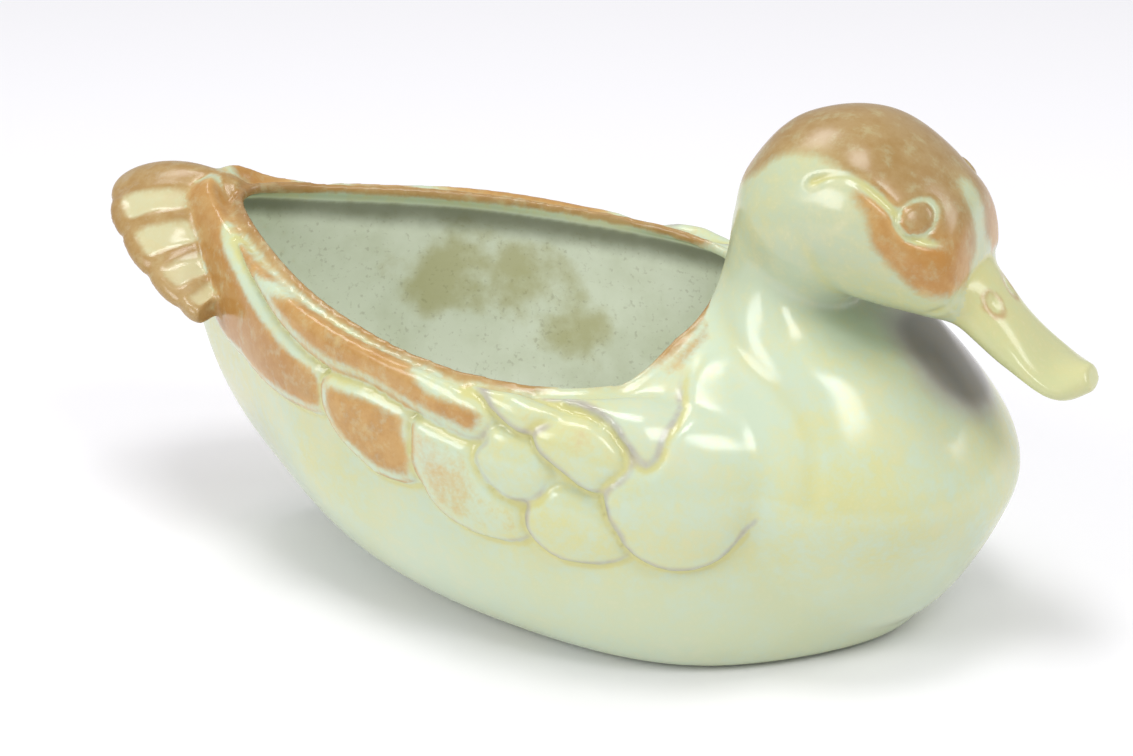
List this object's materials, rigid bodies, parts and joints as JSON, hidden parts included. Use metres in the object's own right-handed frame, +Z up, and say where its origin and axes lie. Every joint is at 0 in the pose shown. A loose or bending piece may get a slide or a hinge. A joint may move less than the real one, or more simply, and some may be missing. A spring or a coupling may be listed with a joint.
{
  "type": "duck planter",
  "caption": "Hollow glazed duck with an open back for plants, carved wings, a scalloped tail fan and a raised head on a short neck.",
  "frame": {"origin": "under the middle of the whole duck, on the surface it stands on", "axes": "+X towards the bill, +Y towards the duck's left side, +Z up"},
  "size_m": [0.2438, 0.1148, 0.1205],
  "materials": {
    "basin_glaze": "satin gloss glaze",
    "head_glaze": "satin gloss glaze",
    "bill_glaze": "satin gloss glaze",
    "wing_glaze": "satin gloss glaze",
    "tail_glaze": "satin gloss glaze",
    "eye_glaze": "satin gloss glaze"
  },
  "bodies": {
    "root": {"basin": "basin_glaze", "neck_and_head": "head_glaze", "bill": "bill_glaze", "wing_right": "wing_glaze", "wing_left": "wing_glaze", "tail_fan": "tail_glaze", "eye_right": "eye_glaze", "eye_left": "eye_glaze"}
  },
  "joints": []
}
